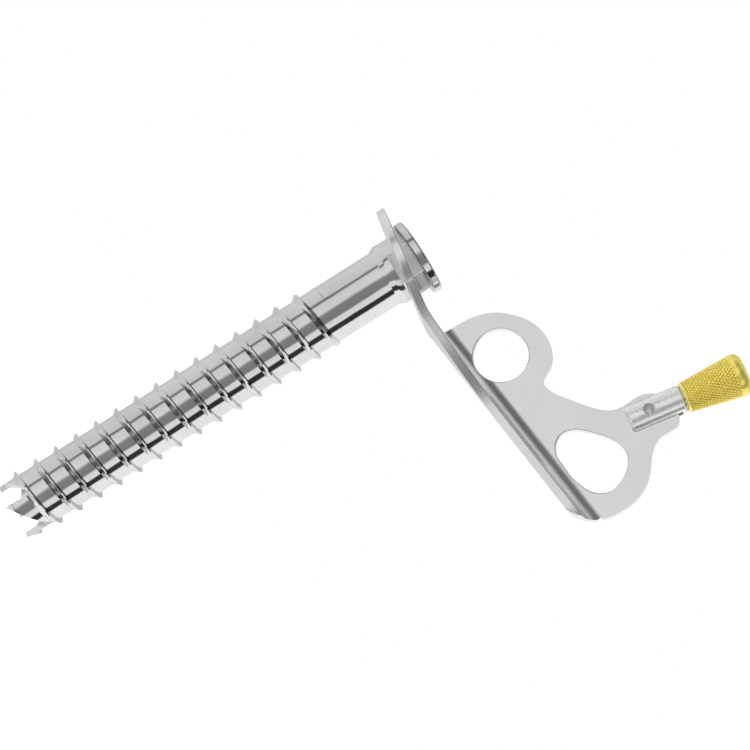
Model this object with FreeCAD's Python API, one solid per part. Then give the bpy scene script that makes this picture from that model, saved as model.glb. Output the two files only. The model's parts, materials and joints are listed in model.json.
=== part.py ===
import FreeCAD, Part
import math
import os

# Ice screw: a toothed, threaded tube that carries a loose bent hanger and a flip-out crank knob.
# Row frame, mm: +Z runs along the tube from its teeth to its head, +X along the hanger's arm,
# origin on the tube's axis at the top of the shoulder that the hanger rests on.

# Tube
TUBE_R = 7.95
BORE_R = 6.4
TIP_Z = -121.2
TOOTH_COUNT = 4
TOOTH_DEPTH = 8.0
RELIEF_DEG = 89.0
TOOTH_FIRST_DEG = -86.0
SHOULDER_R = 8.9
SHOULDER_START_Z = -2.6
HEX_AF = 15.4
HEX_LEN = 6.5
HEX_TURN_DEG = 16.0
SPIGOT_R = 7.3

# Thread
PITCH = 6.35
THREAD_R = 9.3
THREAD_START_Z = -119.6
THREAD_FULL_Z = -26.0
THREAD_END_Z = -19.5
CREST_DEG = 198.0
CREST_Z = -114.9

# Flange
FLANGE_R = 10.7
FLANGE_T = 2.5

# Hanger
PLATE_T = 2.3
EDGE_R = 0.3
RING_R = 16.3
HOLE_AF = 16.6
RING_Z = HEX_LEN / 2
RING_LEAN_DEG = 10.0
ARM_RISE_DEG = 4.2
FOLD_X = 17.2
FOLD_R = 15.0
BEND_R = 4.3
CHEEK_Y = 12.0
ARM_END_X = 86.0
CLIP_HOLE_R = 7.6
CLIP_HOLE_X = 32.8
CLIP_HOLE_Z = 12.7

# Crank knob
PIN_X = 68.3
PIN_Z = 37.1
PIN_R = 1.6
KNOB_LEAN_DEG = 10.0
STEM_R = 4.0
STEM_TAIL = 6.0
SLOT_GAP = 2.9
SLOT_DEPTH = 8.2
NECK_R = 3.0
KNOB_START = 10.0
KNOB_LEN = 17.7
KNOB_IN_R = 4.25
KNOB_OUT_R = 6.0
SPRING_WIRE_R = 0.3
SPRING_R = 1.25
PRESS_TRAVEL = 0.5
POCKET_TOP = 22.2
STEM_TOP = 25.6

X_AXIS = FreeCAD.Vector(1, 0, 0)
Y_AXIS = FreeCAD.Vector(0, 1, 0)
Z_AXIS = FreeCAD.Vector(0, 0, 1)
ORIGIN = FreeCAD.Vector(0, 0, 0)


def vec(x, y, z):
    return FreeCAD.Vector(x, y, z)


def cylinder(r, low, high):
    return Part.makeCylinder(r, high - low, vec(0, 0, low), Z_AXIS)


def cone(r_low, r_high, low, high):
    return Part.makeCone(r_low, r_high, high - low, vec(0, 0, low), Z_AXIS)


def revolve(points):
    face = Part.Face(Part.makePolygon([vec(r, 0, z) for r, z in points + points[:1]]))
    return face.revolve(ORIGIN, Z_AXIS, 360)


def smooth_face(points, plane):
    """A face whose edge is one closed smooth curve through the given points."""
    curve = Part.BSplineCurve()
    curve.interpolate([plane(a, b) for a, b in points], PeriodicFlag=True)
    return Part.Face(Part.Wire([curve.toShape()]))


def on_xy(x, y):
    return vec(x, y, -20)


def on_xz(x, z):
    return vec(x, CHEEK_Y - PLATE_T / 2, z)


def hexagon(across_flats, low, high, turn_deg):
    corner = across_flats / math.sqrt(3)
    angles = [math.radians(turn_deg + 60 * i) for i in range(7)]
    wire = Part.makePolygon([vec(corner * math.cos(a), corner * math.sin(a), low) for a in angles])
    return Part.Face(wire).extrude(vec(0, 0, high - low))


def tooth_relief(start_deg):
    """The space below one tooth's back, which climbs from the tooth's tip to the next gullet."""
    turns = RELIEF_DEG / 360
    spine = Part.makeHelix(TOOTH_DEPTH / turns, TOOTH_DEPTH, TUBE_R)
    corners = [(3, 0), (13, 0), (13, -12), (3, -12), (3, 0)]
    section = Part.makePolygon([vec(r, 0, z) for r, z in corners])
    cutter = Part.Wire(spine).makePipeShell([section], True, True)
    cutter.rotate(ORIGIN, Z_AXIS, start_deg)
    cutter.translate(vec(0, 0, TIP_Z))
    return cutter


def thread():
    """One buttress ridge: a long flank towards the teeth, a thin land, a steep flank towards the head."""
    first_turn = math.floor((THREAD_START_Z - CREST_Z) / PITCH) - 1
    height = PITCH * (math.ceil((THREAD_END_Z - CREST_Z) / PITCH) - first_turn)
    spine = Part.makeHelix(PITCH, height, TUBE_R)
    inner = TUBE_R - 0.4
    profile = [(inner, -1.95), (THREAD_R, -0.16), (THREAD_R, 0.16), (inner, 0.62)]
    section = Part.makePolygon([vec(r, 0, z) for r, z in profile + profile[:1]])
    ridge = Part.Wire(spine).makePipeShell([section], True, True)
    ridge.rotate(ORIGIN, Z_AXIS, CREST_DEG)
    ridge.translate(vec(0, 0, CREST_Z + first_turn * PITCH))
    envelope = revolve([
        (TUBE_R - 1.0, TIP_Z - 0.01), (TUBE_R - 0.1, TIP_Z - 0.01), (THREAD_R - 0.1, TIP_Z + 5.5),
        (THREAD_R + 1, TIP_Z + 5.6), (THREAD_R + 1, THREAD_FULL_Z), (THREAD_R - 0.1, THREAD_FULL_Z),
        (TUBE_R - 0.1, THREAD_END_Z), (TUBE_R - 1.0, THREAD_END_Z)])
    return ridge.common(envelope)


def screw_tube():
    body = cylinder(TUBE_R, TIP_Z, SHOULDER_START_Z)
    shoulder = revolve([
        (0, SHOULDER_START_Z - 0.5), (TUBE_R, SHOULDER_START_Z - 0.5), (TUBE_R + 0.25, SHOULDER_START_Z),
        (SHOULDER_R - 0.15, SHOULDER_START_Z + 1.1), (SHOULDER_R, SHOULDER_START_Z + 1.6),
        (SHOULDER_R, 0), (0, 0)])
    grip = hexagon(HEX_AF, -0.5, HEX_LEN, HEX_TURN_DEG).common(cylinder(SHOULDER_R - 0.12, -0.5, HEX_LEN))
    body = body.fuse([shoulder, grip, cylinder(SPIGOT_R, HEX_LEN - 0.5, HEX_LEN + FLANGE_T)])
    body = body.fuse(thread())
    body = body.cut(cylinder(BORE_R, TIP_Z - 1, HEX_LEN + FLANGE_T + 1))
    body = body.cut(cone(BORE_R, BORE_R + 1, HEX_LEN + FLANGE_T - 0.6, HEX_LEN + FLANGE_T + 0.4))
    starts = [TOOTH_FIRST_DEG + i * 360 / TOOTH_COUNT for i in range(TOOTH_COUNT)]
    for start in starts:
        body = body.cut(tooth_relief(start))
    return body


def head_flange():
    ring = cylinder(FLANGE_R, HEX_LEN, HEX_LEN + FLANGE_T)
    rims = [e for e in ring.Edges if e.Curve.TypeId == "Part::GeomCircle"]
    ring = ring.makeFillet(0.55, rims)
    return ring.cut(cylinder(SPIGOT_R, HEX_LEN - 1, HEX_LEN + FLANGE_T + 1))


def arm_z(x):
    """Height of the arm's mid-plane at x, on the straight stretch past the fold."""
    fold_z = RING_Z - FOLD_X * math.tan(math.radians(RING_LEAN_DEG))
    return fold_z + (x - FOLD_X) * math.tan(math.radians(ARM_RISE_DEG))


def folded_slab(width):
    """The plate as seen from the side: the leaning ring, the fold, then the rising arm."""
    lean = math.radians(RING_LEAN_DEG)
    rise = math.radians(ARM_RISE_DEG)
    reach = FOLD_R * math.tan((lean + rise) / 2)
    fold_z = RING_Z - FOLD_X * math.tan(lean)
    start = vec(-20, 0, RING_Z + 20 * math.tan(lean))
    before = vec(FOLD_X - reach * math.cos(lean), 0, fold_z + reach * math.sin(lean))
    after = vec(FOLD_X + reach * math.cos(rise), 0, fold_z + reach * math.sin(rise))
    sag = FOLD_R / math.cos((lean + rise) / 2) - FOLD_R
    tilt = (rise - lean) / 2
    middle = vec(FOLD_X - sag * math.sin(tilt), 0, fold_z + sag * math.cos(tilt))
    end = vec(ARM_END_X + 5, 0, arm_z(ARM_END_X + 5))
    path = Part.Wire([
        Part.makeLine(start, before),
        Part.Arc(before, middle, after).toShape(),
        Part.makeLine(after, end)])
    across = vec(math.sin(lean), 0, math.cos(lean)) * (PLATE_T / 2)
    section = Part.Face(Part.makePolygon([
        start + across, start + across + vec(0, width, 0), start - across + vec(0, width, 0),
        start - across, start + across]))
    slab = path.makePipeShell([section.OuterWire], True, False)
    slab.translate(vec(0, -width / 2, 0))
    return slab


def in_arm_frame(shape):
    """Lays a shape drawn along +X from the fold onto the rising arm."""
    shape.rotate(ORIGIN, Y_AXIS, -ARM_RISE_DEG)
    shape.translate(vec(FOLD_X, 0, arm_z(FOLD_X)))
    return shape


def bend_strip():
    """The quarter-round bend that joins the flat of the arm to its upright cheek."""
    outer = BEND_R + PLATE_T
    centre_y = CHEEK_Y - PLATE_T / 2 - BEND_R
    centre_z = PLATE_T / 2 + BEND_R
    start = 2.0
    length = ARM_END_X - FOLD_X - start
    origin = vec(start, centre_y, centre_z)
    strip = Part.makeCylinder(outer, length, origin, X_AXIS)
    strip = strip.cut(Part.makeCylinder(BEND_R, length, origin, X_AXIS))
    quarter = Part.makeBox(length, outer, outer, vec(start, centre_y, centre_z - outer))
    return in_arm_frame(strip.common(quarter))


def cheek():
    """The upright plate with its two clip eyes, the notch the crank stows in, and the crank's tab."""
    outline = [
        (19.2, -2.0), (19.0, 4.0), (19.2, 11.0), (21.2, 17.2), (25.0, 21.7), (29.5, 24.7), (34.6, 25.8),
        (39.6, 24.9), (43.2, 21.8), (45.8, 18.1), (48.5, 18.3), (53.5, 21.2), (59.2, 25.3), (62.2, 28.6),
        (63.2, 32.5), (63.2, 37.4), (65.0, 41.1), (68.4, 43.2), (72.6, 43.4), (75.4, 41.8), (76.0, 38.4),
        (76.0, 35.2), (77.8, 32.0), (82.0, 28.4), (85.4, 24.0), (87.0, 18.4), (87.0, 12.0), (87.4, 6.0),
        (84.0, -1.0), (50.0, -8.0), (22.0, -9.0)]
    plate = smooth_face(outline, on_xz).extrude(vec(0, PLATE_T, 0))
    length = ARM_END_X + 10
    above = Part.makeBox(length, 30, 60, vec(-5, 0, PLATE_T / 2 + BEND_R))
    return plate.common(in_arm_frame(above))


def arm_end():
    """Everything past the rounded end of the arm, where flat, bend and cheek share one outline."""
    outline = [
        (74.0, 1.2), (77.5, 2.7), (80.6, 3.9), (83.2, 5.8), (85.3, 8.8), (86.6, 12.4), (87.3, 16.5),
        (89.0, 21.0), (94.0, 20.0), (96.0, 4.0), (88.0, -7.0), (76.0, -5.0)]
    beyond = smooth_face(outline, on_xz).extrude(vec(0, 60, 0))
    beyond.translate(vec(0, -30, 0))
    return beyond


def lower_eye():
    """The rounded three-sided clip eye near the arm's end."""
    outline = [
        (66.6, 9.9), (63.0, 10.8), (60.8, 13.4), (61.2, 17.2), (64.6, 21.2), (69.0, 24.6), (72.8, 26.0),
        (76.6, 24.8), (79.8, 21.0), (80.8, 16.6), (79.0, 13.0), (75.2, 10.9), (70.8, 10.0)]
    eye = smooth_face(outline, on_xz).extrude(vec(0, 12, 0))
    eye.translate(vec(0, -6, 0))
    return eye


def flat_outline():
    """The ring round the hexagon and the near edge that narrows away along the arm."""
    ring = Part.makeCylinder(RING_R, 40, vec(0, 0, -20), Z_AXIS)
    web = smooth_face([
        (4.0, -15.2), (9.6, -13.2), (14.5, -11.2), (19.0, -8.6), (25.0, -4.6), (32.0, -0.4), (40.0, 3.0),
        (50.0, 4.9), (62.0, 5.2), (74.0, 4.9), (82.0, 5.4), (87.0, 7.6), (80.0, 9.6), (50.0, 9.4),
        (30.0, 9.4), (19.3, 8.6), (15.5, 10.2), (12.0, 12.4), (7.5, 14.4), (2.0, 13.0), (-1.0, 0.0)], on_xy)
    web = web.extrude(vec(0, 0, 40))
    flat_limit = CHEEK_Y - PLATE_T / 2 - BEND_R
    flats = Part.makeBox(19.2 + 20, 40, 40, vec(-20, -20, -20))
    flats = flats.fuse(Part.makeBox(80, 20 + flat_limit, 40, vec(19.1, -20, -20)))
    return ring.fuse(web).common(flats)


def is_sharp(shape, edge):
    """True where two faces meet at roughly a right angle along an edge long enough to see."""
    faces = shape.ancestorsOfType(edge, Part.Face)
    if len(faces) != 2 or edge.Length < 3:
        return False
    point = edge.valueAt((edge.FirstParameter + edge.LastParameter) / 2)
    first, second = [face.normalAt(*face.Surface.parameter(point)) for face in faces]
    return abs(first.dot(second)) < 0.5


def tumbled(plate):
    """Rounds the plate's cut edges, leaving the few short ones too tight for the radius."""
    rounded = []
    for edge in plate.Edges:
        if not is_sharp(plate, edge):
            continue
        try:
            if plate.makeFillet(EDGE_R, [edge]).isValid():
                rounded.append(edge)
        except Part.OCCError:
            continue
    return plate.makeFillet(EDGE_R, rounded)


def hanger():
    flat = folded_slab(40).common(flat_outline())
    hole = hexagon(HOLE_AF, -12, 12, HEX_TURN_DEG)
    hole.rotate(ORIGIN, Y_AXIS, RING_LEAN_DEG)
    hole.translate(vec(0, 0, RING_Z))
    flat = flat.cut(hole)
    plate = flat.fuse([bend_strip(), cheek()]).cut(arm_end())
    plate = plate.cut(Part.makeCylinder(CLIP_HOLE_R, 30, vec(CLIP_HOLE_X, 0, CLIP_HOLE_Z), Y_AXIS))
    plate = plate.cut(lower_eye())
    pin_hole_r = PIN_R + 0.05
    plate = tumbled(plate.removeSplitter())
    return plate.cut(Part.makeCylinder(pin_hole_r, 10, vec(PIN_X, CHEEK_Y - 5, PIN_Z), Y_AXIS))


def place_crank(shape):
    """Moves a shape drawn along +Z from the pivot into the open, slightly outward pose."""
    shape.rotate(ORIGIN, Y_AXIS, KNOB_LEAN_DEG)
    shape.translate(vec(PIN_X, CHEEK_Y, PIN_Z))
    return shape


def knob_stem():
    stem = revolve([
        (0, -STEM_TAIL), (STEM_R - 0.6, -STEM_TAIL), (STEM_R, -STEM_TAIL + 0.6), (STEM_R, KNOB_START - 1.0),
        (STEM_R - 0.35, KNOB_START - 0.65), (NECK_R, KNOB_START - 0.65), (NECK_R, STEM_TOP), (0, STEM_TOP)])
    slot = Part.makeBox(20, SLOT_GAP, STEM_TAIL + SLOT_DEPTH, vec(-10, -SLOT_GAP / 2, -STEM_TAIL))
    pocket = cylinder(1.6, SLOT_DEPTH - 1, POCKET_TOP)
    pin_hole = Part.makeCylinder(PIN_R, 20, vec(0, -10, 0), Y_AXIS)
    return place_crank(stem.cut(slot).cut(pocket).cut(pin_hole))


def pivot_pin():
    """A split spring pin through both ears of the stem."""
    half = math.sqrt(STEM_R ** 2 - PIN_R ** 2) - 0.5
    pin = Part.makeCylinder(PIN_R, 2 * half, vec(0, -half, 0), Y_AXIS)
    pin = pin.cut(Part.makeCylinder(0.85, 20, vec(0, -10, 0), Y_AXIS))
    pin = pin.cut(Part.makeBox(3, 20, 0.4, vec(0, -10, -0.2)))
    return place_crank(pin)


def detent_plunger():
    """The small sprung piece that presses on the tab's edge."""
    tip = SLOT_DEPTH - 0.9
    body = revolve([
        (0, tip), (0.7, tip), (1.3, tip + 0.6), (1.52, tip + 0.6), (1.52, tip + 3.0), (0.8, tip + 3.0),
        (0.8, tip + 4.4), (0, tip + 4.4)])
    return place_crank(body)


def detent_spring():
    low = SLOT_DEPTH + 2.1 + PRESS_TRAVEL + SPRING_WIRE_R + 0.05
    high = POCKET_TOP - SPRING_WIRE_R - 0.05
    spine = Part.makeHelix((high - low) / 7, high - low, SPRING_R - 0.05)
    section = Part.Wire([Part.makeCircle(SPRING_WIRE_R - 0.05, vec(SPRING_R - 0.05, 0, 0), Y_AXIS)])
    coil = Part.Wire(spine).makePipeShell([section], True, True)
    coil.translate(vec(0, 0, low))
    return place_crank(coil)


def crank_knob():
    end = KNOB_START + KNOB_LEN
    body = revolve([
        (NECK_R + 0.06, KNOB_START), (KNOB_IN_R - 0.35, KNOB_START), (KNOB_IN_R, KNOB_START + 0.35),
        (KNOB_OUT_R - 0.25, end - 3.1), (KNOB_OUT_R, end - 2.6), (KNOB_OUT_R - 0.15, end - 1.4),
        (KNOB_OUT_R - 0.8, end - 0.4), (KNOB_OUT_R - 1.7, end), (4.1, end), (4.1, STEM_TOP - 0.3),
        (NECK_R + 0.06, STEM_TOP - 0.3)])
    return place_crank(body)


def thrust_washer():
    washer = cylinder(STEM_R - 0.45, KNOB_START - 0.65, KNOB_START - 0.3)
    return place_crank(washer.cut(cylinder(NECK_R, KNOB_START - 2, KNOB_START + 1)))


def retaining_washer():
    washer = cylinder(3.8, STEM_TOP, STEM_TOP + 0.6)
    return place_crank(washer.cut(cylinder(1.2, STEM_TOP - 1, STEM_TOP + 1)))


def end_rivet():
    """The domed rivet that closes the knob's end and holds its washer on the stem."""
    top = STEM_TOP + 0.6
    head = revolve([(0, top), (2.6, top), (2.45, top + 0.55), (1.7, top + 0.95), (0, top + 1.1)])
    shank = cylinder(1.2, STEM_TOP - 2.5, top + 0.2)
    return place_crank(head.fuse(shank))


def stem_with_rivet_hole():
    hole = place_crank(cylinder(1.2, STEM_TOP - 2.5, STEM_TOP + 1))
    return knob_stem().cut(hole)


NODES = {
    "screw_tube": screw_tube,
    "head_flange": head_flange,
    "hanger": hanger,
    "knob_stem": stem_with_rivet_hole,
    "pivot_pin": pivot_pin,
    "detent_plunger": detent_plunger,
    "detent_spring": detent_spring,
    "crank_knob": crank_knob,
    "thrust_washer": thrust_washer,
    "retaining_washer": retaining_washer,
    "end_rivet": end_rivet,
}

os.makedirs("parts", exist_ok=True)
for name, make in NODES.items():
    shape = make()
    print(name, "valid", shape.isValid(), "solids", len(shape.Solids), "volume", round(shape.Volume, 2))
    shape.exportStep("parts/" + name + ".step")
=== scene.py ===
import bmesh
import bpy
import json
import math
from mathutils import Matrix, Vector


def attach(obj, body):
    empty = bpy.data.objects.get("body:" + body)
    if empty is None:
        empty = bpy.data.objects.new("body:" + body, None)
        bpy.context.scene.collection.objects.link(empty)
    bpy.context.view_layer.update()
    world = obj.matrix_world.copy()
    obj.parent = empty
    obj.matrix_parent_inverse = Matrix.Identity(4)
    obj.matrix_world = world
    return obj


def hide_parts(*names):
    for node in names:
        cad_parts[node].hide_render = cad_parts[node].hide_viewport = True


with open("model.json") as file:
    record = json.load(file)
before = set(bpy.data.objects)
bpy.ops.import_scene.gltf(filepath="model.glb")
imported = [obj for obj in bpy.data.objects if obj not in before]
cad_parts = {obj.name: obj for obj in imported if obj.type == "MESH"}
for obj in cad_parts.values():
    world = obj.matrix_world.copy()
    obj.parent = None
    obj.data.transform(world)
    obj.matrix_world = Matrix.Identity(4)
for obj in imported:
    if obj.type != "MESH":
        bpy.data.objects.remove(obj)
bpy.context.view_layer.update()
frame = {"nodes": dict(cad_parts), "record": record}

MM = 0.001

# The tooth tips, and how far below them the floor lies, in mm.
TIP_Z = -121.2
FLOOR_GAP = 14
FLOOR_R = 2500

# The crank knob, in mm along and round its own axis, which starts at the pin.
PIN = Vector((68.3, 12.0, 37.1))
KNOB_LEAN_DEG = 10.0
KNOB_START = 10.0
KNOB_LEN = 17.7
KNOB_IN_R = 4.25
KNOB_OUT_R = 6.0
NECK_R = 3.0
STEM_TOP = 25.6


# ---------------------------------------------------------------- materials

class Nodes:
    """A short way to write a material's node tree."""

    def __init__(self, name):
        self.material = bpy.data.materials.new(name)
        self.material.use_nodes = True
        self.tree = self.material.node_tree
        self.shader = self.tree.nodes["Principled BSDF"]

    def add(self, kind, values=None, **settings):
        node = self.tree.nodes.new(kind)
        for key, value in settings.items():
            setattr(node, key, value)
        for key, value in (values or {}).items():
            if isinstance(value, bpy.types.NodeSocket):
                self.tree.links.new(value, node.inputs[key])
            else:
                node.inputs[key].default_value = value
        return node

    def link(self, output, name):
        self.tree.links.new(output, self.shader.inputs[name])

    def set(self, **values):
        for key, value in values.items():
            self.shader.inputs[key.replace("_", " ")].default_value = value

    def place(self, scale=(1, 1, 1)):
        coords = self.add("ShaderNodeTexCoord")
        values = {"Vector": coords.outputs["Object"], "Scale": scale}
        return self.add("ShaderNodeMapping", values).outputs["Vector"]

    def noise(self, vector, scale, detail=4.0, roughness=0.6):
        node = self.add("ShaderNodeTexNoise", {
            "Vector": vector, "Scale": scale, "Detail": detail, "Roughness": roughness})
        return node.outputs["Fac"]

    def ramp(self, value, stops):
        node = self.add("ShaderNodeValToRGB", {"Fac": value})
        ramp = node.color_ramp
        while len(ramp.elements) < len(stops):
            ramp.elements.new(0.5)
        for element, (position, colour) in zip(ramp.elements, stops):
            element.position = position
            element.color = (*colour, 1) if isinstance(colour, tuple) else (colour, colour, colour, 1)
        return node.outputs["Color"]

    def range(self, value, low, high):
        node = self.add("ShaderNodeMapRange", {"Value": value, "To Min": low, "To Max": high})
        return node.outputs["Result"]

    def bump(self, height, strength, distance, normal=None):
        values = {"Height": height, "Strength": strength, "Distance": distance}
        if normal is not None:
            values["Normal"] = normal
        return self.add("ShaderNodeBump", values).outputs["Normal"]


def polished_tube(name, tint):
    """Bright plated steel with lathe lines round the tube, faint ripples and a little grime."""
    m = Nodes(name)
    m.set(Metallic=1.0)
    lines = m.noise(m.place((0.4, 0.4, 30.0)), 160.0, 2.0)
    cloud = m.noise(m.place(), 60.0, 5.0)
    ripple = m.noise(m.place((1, 1, 0.35)), 190.0, 2.0, 0.4)
    m.link(m.ramp(cloud, [(0.25, tuple(c * 0.86 for c in tint)), (0.62, tint)]), "Base Color")
    m.link(m.range(cloud, 0.05, 0.13), "Roughness")
    wavy = m.bump(ripple, 0.16, 0.0006)
    m.link(m.bump(lines, 0.05, 0.0001, wavy), "Normal")
    return m.material


def satin_plate():
    """Tumbled stainless plate: fine grain, soft mottling and short random scratches."""
    m = Nodes("satin_plate")
    m.set(Metallic=1.0)
    grain = m.noise(m.place(), 2600.0, 3.0)
    cloud = m.noise(m.place(), 90.0, 6.0)
    scratch = m.noise(m.place((2600, 180, 260)), 1.0, 2.0)
    across = m.noise(m.place((220, 200, 2400)), 1.0, 2.0)
    marks = m.add("ShaderNodeMath", {0: scratch, 1: across}, operation="MAXIMUM").outputs[0]
    m.link(m.ramp(cloud, [(0.3, (0.86, 0.86, 0.865)), (0.7, (0.96, 0.96, 0.96))]), "Base Color")
    m.link(m.range(cloud, 0.20, 0.30), "Roughness")
    rough = m.bump(grain, 0.10, 0.0001)
    m.link(m.bump(marks, 0.10, 0.0001, rough), "Normal")
    return m.material


def turned_steel(name, colour, rough_low, rough_high):
    """Lathe-turned steel: rings round the crank's axis and faint cloudiness."""
    m = Nodes(name)
    m.set(Metallic=0.85)
    cloud = m.noise(m.place(), 240.0, 4.0)
    rings = m.noise(m.place((500, 500, 5200)), 1.0, 2.0)
    m.link(m.ramp(cloud, [(0.3, tuple(c * 0.9 for c in colour)), (0.7, colour)]), "Base Color")
    m.link(m.range(cloud, rough_low, rough_high), "Roughness")
    m.link(m.bump(rings, 0.12, 0.0001), "Normal")
    return m.material


def gold_anodised():
    """Gold anodised aluminium. Its colour follows the knurl's shape: paler on the raised points, for
    wear and a painted highlight, and dark in the grooves as painted shade.
    """
    m = Nodes("gold_anodised")
    m.set(Metallic=0.72)
    cloud = m.noise(m.place(), 420.0, 5.0)
    point = m.add("ShaderNodeNewGeometry").outputs["Pointiness"]
    # Pale gold on the raised knurl points is wear plus a painted highlight; dark gold in the grooves is
    # painted shade.
    wear_and_painted_shade = m.ramp(point, [(0.455, (0.72, 0.46, 0.02)), (0.53, (1.0, 0.87, 0.22))])
    tone = m.ramp(cloud, [(0.3, (0.93, 0.91, 0.86)), (0.7, (1.0, 1.0, 1.0))])
    mixed = m.add("ShaderNodeMix", data_type="RGBA", blend_type="MULTIPLY")
    mixed.inputs["Factor"].default_value = 1.0
    m.tree.links.new(wear_and_painted_shade, mixed.inputs[6])
    m.tree.links.new(tone, mixed.inputs[7])
    m.link(mixed.outputs[2], "Base Color")
    m.link(m.range(cloud, 0.22, 0.34), "Roughness")
    m.link(m.bump(cloud, 0.08, 0.0001), "Normal")
    return m.material


MATERIALS = {
    "tube": polished_tube("bright_tube", (0.80, 0.79, 0.795)),
    "flange": polished_tube("bright_flange", (0.74, 0.74, 0.75)),
    "plate": satin_plate(),
    "stem": turned_steel("turned_stem", (0.96, 0.96, 0.95), 0.22, 0.32),
    # The pin's steel is coloured dark grey as painted shade, for the shadow that falls on the pin.
    "pin": turned_steel("pin_painted_shade", (0.42, 0.42, 0.42), 0.18, 0.28),
    "spring": turned_steel("spring_wire", (0.55, 0.55, 0.55), 0.18, 0.28),
    "knob": gold_anodised(),
}
SLOT_OF = {s["node"]: s["material_slot"] for s in frame["record"]["subparts"]}
for node_name, node in frame["nodes"].items():
    for index in range(len(node.material_slots)):
        node.material_slots[index].material = MATERIALS[SLOT_OF[node_name]]
    if not node.material_slots:
        node.data.materials.append(MATERIALS[SLOT_OF[node_name]])


# ---------------------------------------------------------------- mesh helpers

def make_object(name, points, faces, material, smooth_deg=40):
    mesh = bpy.data.meshes.new(name)
    mesh.from_pydata([tuple(c * MM for c in p) for p in points], [], faces)
    mesh.validate()
    mesh.materials.append(material)
    obj = bpy.data.objects.new(name, mesh)
    bpy.context.scene.collection.objects.link(obj)
    work = bmesh.new()
    work.from_mesh(mesh)
    bmesh.ops.remove_doubles(work, verts=work.verts, dist=1e-7)
    bmesh.ops.recalc_face_normals(work, faces=work.faces)
    for face in work.faces:
        face.smooth = True
    for edge in work.edges:
        if len(edge.link_faces) == 2:
            edge.smooth = edge.calc_face_angle(0) < math.radians(smooth_deg)
    work.to_mesh(mesh)
    work.free()
    return obj


# ---------------------------------------------------------------- crank knob with a real diamond knurl

def knurled_knob():
    """The tapered knob: crossed right- and left-hand knurl grooves on its side, plain rounded end."""
    around, along = 288, 150
    end = KNOB_START + KNOB_LEN
    knurl_low, knurl_high = KNOB_START + 0.5, end - 3.0
    lines, depth, turn_rate = 36, 0.2, math.tan(math.radians(30))
    profile = [
        (NECK_R + 0.06, KNOB_START), (KNOB_IN_R - 0.35, KNOB_START),
        (KNOB_IN_R - 0.02, KNOB_START + 0.4)]
    for i in range(1, along):
        f = i / along
        radius = KNOB_IN_R + (KNOB_OUT_R - 0.15 - KNOB_IN_R) * f
        profile.append((radius, KNOB_START + 0.4 + f * (KNOB_LEN - 3.4)))
    profile += [
        (KNOB_OUT_R - 0.12, end - 2.8), (KNOB_OUT_R - 0.02, end - 2.55), (KNOB_OUT_R - 0.04, end - 1.9),
        (KNOB_OUT_R - 0.2, end - 1.2), (KNOB_OUT_R - 0.55, end - 0.6), (KNOB_OUT_R - 1.1, end - 0.15),
        (KNOB_OUT_R - 1.6, end), (4.15, end), (4.1, end - 0.1), (4.1, STEM_TOP - 0.3),
        (NECK_R + 0.06, STEM_TOP - 0.3)]
    points = []
    for r, z in profile:
        inside = min(1.0, max(0.0, (z - knurl_low) / 0.4), max(0.0, (knurl_high - z) / 0.4))
        outer = r > NECK_R + 0.5 and KNOB_START + 0.35 < z < knurl_high
        for j in range(around):
            a = 2 * math.pi * j / around
            cut = 0.0
            if outer and inside > 0:
                twist = (z - KNOB_START) * turn_rate / 5.0
                right = abs(((lines * (a + twist) / math.pi) % 2) - 1)
                left = abs(((lines * (a - twist) / math.pi) % 2) - 1)
                cut = depth * inside * (1 - min(1.0, 1.7 * min(right, left)))
            points.append(((r - cut) * math.cos(a), (r - cut) * math.sin(a), z))
    rows = len(profile)
    faces = []
    for i in range(rows):
        k = (i + 1) % rows
        for j in range(around):
            n = (j + 1) % around
            faces.append((i * around + j, i * around + n, k * around + n, k * around + j))
    knob = make_object("knurled_knob", points, faces, MATERIALS["knob"], 60)
    lean = Matrix.Translation(PIN * MM) @ Matrix.Rotation(math.radians(KNOB_LEAN_DEG), 4, "Y")
    knob.data.transform(lean)
    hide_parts("crank_knob")
    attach(knob, "knob")


knurled_knob()

# ---------------------------------------------------------------- floor, light and camera

# The camera's angles, its distance and lens in mm, and the point it looks at: a height on the
# tube's axis, and how far to the side of that axis.
CAM_AZ_DEG = 18.0
CAM_EL_DEG = -2.6
CAM_ROLL_DEG = 57.6
CAM_DIST = 600.0
CAM_LENS = 106.272
FOOT_Z = -19.1
FOOT_X = 20.8


def set_camera():
    """A long lens in front of the arm's near side; the tube's teeth point down and to the left."""
    az, el = math.radians(CAM_AZ_DEG), math.radians(CAM_EL_DEG)
    across = Vector((math.cos(az), math.sin(az), 0))
    toward = Vector((math.sin(az) * math.cos(el), -math.cos(az) * math.cos(el), math.sin(el)))
    up = toward.cross(across)
    foot = Vector((0, 0, FOOT_Z)) + across * FOOT_X
    roll = math.radians(CAM_ROLL_DEG)
    right_axis = across * math.cos(roll) + up * math.sin(roll)
    up_axis = -across * math.sin(roll) + up * math.cos(roll)
    place = Matrix((right_axis, up_axis, toward)).transposed().to_4x4()
    place.translation = (foot + toward * CAM_DIST) * MM
    data = bpy.data.cameras.new("camera")
    data.sensor_width = 36
    data.lens = CAM_LENS
    data.clip_start = 0.01
    camera = bpy.data.objects.new("camera", data)
    bpy.context.scene.collection.objects.link(camera)
    camera.matrix_world = place
    bpy.context.scene.camera = camera
    return place


camera_place = set_camera()


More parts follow.
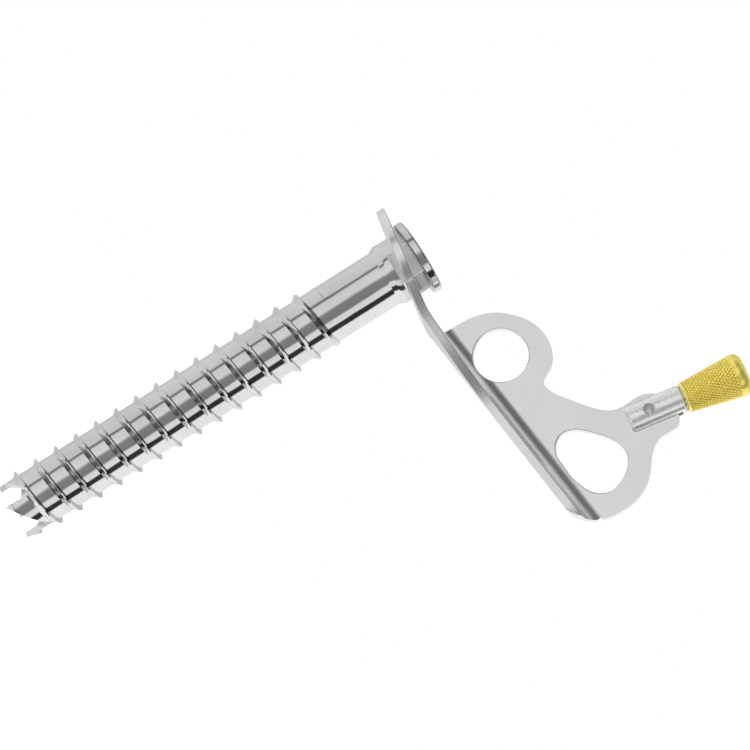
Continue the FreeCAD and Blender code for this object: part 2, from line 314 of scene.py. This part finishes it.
def area_light(name, direction, distance, size, power):
    """A soft light aimed at the middle of the object from a direction in the camera's own axes."""
    data = bpy.data.lights.new(name, "AREA")
    data.shape = "RECTANGLE"
    data.size = size
    data.size_y = size
    data.energy = power
    light = bpy.data.objects.new(name, data)
    bpy.context.scene.collection.objects.link(light)
    aim = camera_place.to_3x3() @ Vector(direction).normalized()
    middle = Vector((0.03, 0.0, -0.04))
    light.location = middle + aim * distance
    light.rotation_euler = aim.to_track_quat("Z", "Y").to_euler()
    light.visible_glossy = False


area_light("key", (-0.35, 0.85, 0.45), 0.9, 0.5, 6.0)
area_light("fill", (0.9, -0.2, 0.5), 0.9, 0.5, 2.0)


def studio_world():
    """A white room to look at. The steel reflects upright grey and black cards that stand round it,
    under a dark band above them, which is deep on the camera's side and faint behind the object."""
    world = bpy.data.worlds.new("studio")
    world.use_nodes = True
    bpy.context.scene.world = world
    tree = world.node_tree
    cards = tree.nodes["Background"]
    new, link = tree.nodes.new, tree.links.new
    direction = new("ShaderNodeTexCoord").outputs["Generated"]
    turn = new("ShaderNodeVectorRotate")
    turn.rotation_type = "Z_AXIS"
    turn.inputs["Angle"].default_value = -math.radians(CAM_AZ_DEG)
    link(direction, turn.inputs["Vector"])
    split = new("ShaderNodeSeparateXYZ")
    link(turn.outputs["Vector"], split.inputs["Vector"])
    back = new("ShaderNodeMath")
    back.operation = "MULTIPLY"
    back.inputs[1].default_value = -1
    link(split.outputs["Y"], back.inputs[0])
    azimuth = new("ShaderNodeMath")
    azimuth.operation = "ARCTAN2"
    link(split.outputs["X"], azimuth.inputs[0])
    link(back.outputs[0], azimuth.inputs[1])
    share = new("ShaderNodeMapRange")
    share.inputs["From Min"].default_value = -math.pi
    share.inputs["From Max"].default_value = math.pi
    link(azimuth.outputs[0], share.inputs["Value"])
    ramp = new("ShaderNodeValToRGB")
    stops = [
        (-180, 0.72), (-143, 0.66), (-120, 0.78), (-61, 0.72), (-57, 0.22), (-51, 0.22), (-46, 0.78),
        (-13, 0.84), (-2, 0.27), (28, 0.24), (33, 0.85), (53, 0.92), (57, 0.03), (78, 0.04), (83, 1.05),
        (150, 1.0), (180, 0.72)]
    while len(ramp.color_ramp.elements) < len(stops):
        ramp.color_ramp.elements.new(0.5)
    for element, (degrees, grey) in zip(ramp.color_ramp.elements, stops):
        element.position = (degrees + 180) / 360
        element.color = (grey, grey * 0.99, grey, 1)
    link(share.outputs["Result"], ramp.inputs["Fac"])
    front = new("ShaderNodeMapRange")
    front.inputs["From Min"].default_value = -0.1
    front.inputs["From Max"].default_value = 0.2
    front.inputs["To Min"].default_value = 0.35
    link(back.outputs[0], front.inputs["Value"])
    height = new("ShaderNodeValToRGB")
    bands = [(0.0, 1.0), (0.2, 1.0), (0.36, 0.2), (0.8, 0.2), (0.92, 0.7), (1.0, 0.8)]
    while len(height.color_ramp.elements) < len(bands):
        height.color_ramp.elements.new(0.5)
    for element, (position, grey) in zip(height.color_ramp.elements, bands):
        element.position = position
        element.color = (grey, grey, grey, 1)
    link(split.outputs["Z"], height.inputs["Fac"])
    blend = new("ShaderNodeMix")
    blend.data_type = "RGBA"
    blend.blend_type = "MULTIPLY"
    link(front.outputs["Result"], blend.inputs["Factor"])
    link(ramp.outputs["Color"], blend.inputs[6])
    link(height.outputs["Color"], blend.inputs[7])
    link(blend.outputs[2], cards.inputs["Color"])
    cards.inputs["Strength"].default_value = 1.0
    room = new("ShaderNodeBackground")
    room.inputs["Color"].default_value = (1, 1, 1, 1)
    chosen = new("ShaderNodeMixShader")
    link(new("ShaderNodeLightPath").outputs["Is Camera Ray"], chosen.inputs["Fac"])
    link(cards.outputs[0], chosen.inputs[1])
    link(room.outputs[0], chosen.inputs[2])
    link(chosen.outputs[0], tree.nodes["World Output"].inputs["Surface"])


def pale_floor():
    """A wide round floor a little below the teeth, as white as the room."""
    around = 96
    height = TIP_Z - FLOOR_GAP
    points = [(0, 0, height)]
    for i in range(around):
        turn = 2 * math.pi * i / around
        points.append((FLOOR_R * math.cos(turn), FLOOR_R * math.sin(turn), height))
    faces = [(0, 1 + i, 1 + (i + 1) % around) for i in range(around)]
    m = Nodes("white_floor")
    cloud = m.noise(m.place(), 3.0, 3.0)
    m.link(m.ramp(cloud, [(0.2, (0.89, 0.89, 0.89)), (0.8, (0.9, 0.9, 0.9))]), "Base Color")
    m.set(Roughness=0.9, Emission_Color=(1, 1, 1, 1), Emission_Strength=0.9)
    floor = make_object("floor", points, faces, m.material)
    floor.visible_glossy = False


studio_world()
pale_floor()
bpy.context.scene.view_settings.view_transform = "Standard"
